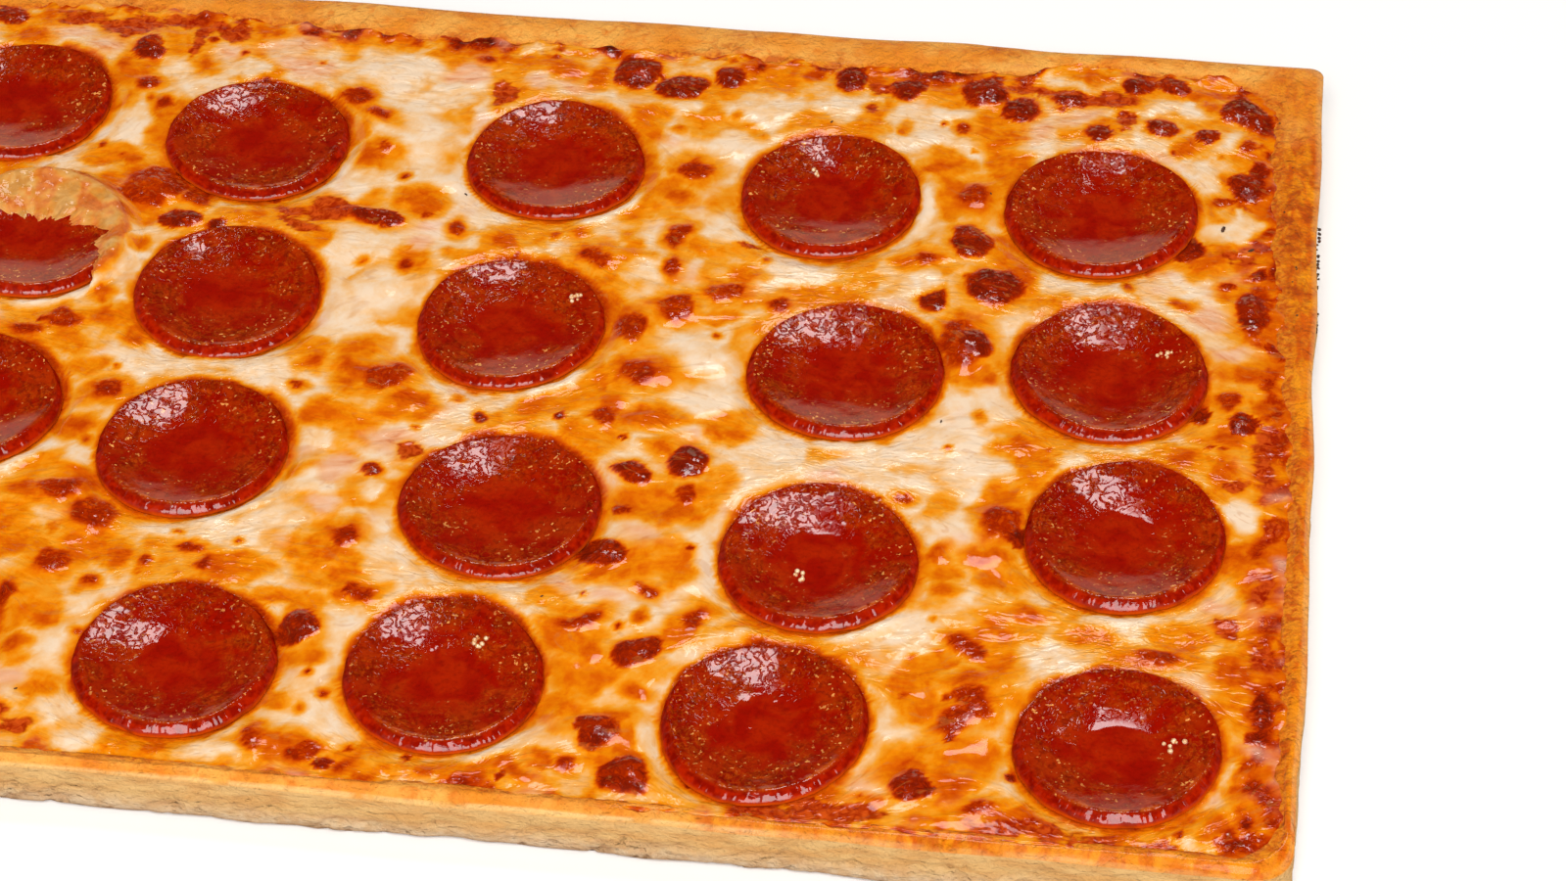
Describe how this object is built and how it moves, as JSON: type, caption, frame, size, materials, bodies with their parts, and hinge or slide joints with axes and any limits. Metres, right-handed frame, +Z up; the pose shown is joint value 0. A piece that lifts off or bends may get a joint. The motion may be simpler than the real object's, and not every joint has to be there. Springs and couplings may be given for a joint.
{
  "type": "rectangular pepperoni pizza",
  "caption": "Rectangular tray-baked pizza: low golden crust, melted and toasted cheese over red sauce, and rows of cupped, glossy pepperoni slices",
  "frame": {"origin": "centre of the underside, on the surface that the pizza rests on", "axes": "+X along the long side, +Y to the back short way across, +Z up"},
  "size_m": [0.3312, 0.2305, 0.0151],
  "materials": {
    "crust": "dry baked dough, golden on top and pale and floury on the sides",
    "sauce": "thick wet tomato sauce",
    "cheese": "melted cheese, creamy with orange oil and toasted brown blisters, shiny",
    "pepperoni": "cured sausage, deep red, wet with fat and finely wrinkled"
  },
  "bodies": {
    "root": {"crust": "crust", "sauce": "sauce", "cheese": "cheese", "cheese_tongue": "cheese", "pepperoni_01": "pepperoni", "pepperoni_02": "pepperoni", "pepperoni_03": "pepperoni", "pepperoni_04": "pepperoni", "pepperoni_05": "pepperoni", "pepperoni_06": "pepperoni", "pepperoni_07": "pepperoni", "pepperoni_08": "pepperoni", "pepperoni_09": "pepperoni", "pepperoni_10": "pepperoni", "pepperoni_11": "pepperoni", "pepperoni_12": "pepperoni", "pepperoni_13": "pepperoni", "pepperoni_14": "pepperoni", "pepperoni_15": "pepperoni", "pepperoni_16": "pepperoni", "pepperoni_17": "pepperoni", "pepperoni_18": "pepperoni", "pepperoni_19": "pepperoni", "pepperoni_20": "pepperoni"}
  },
  "joints": []
}
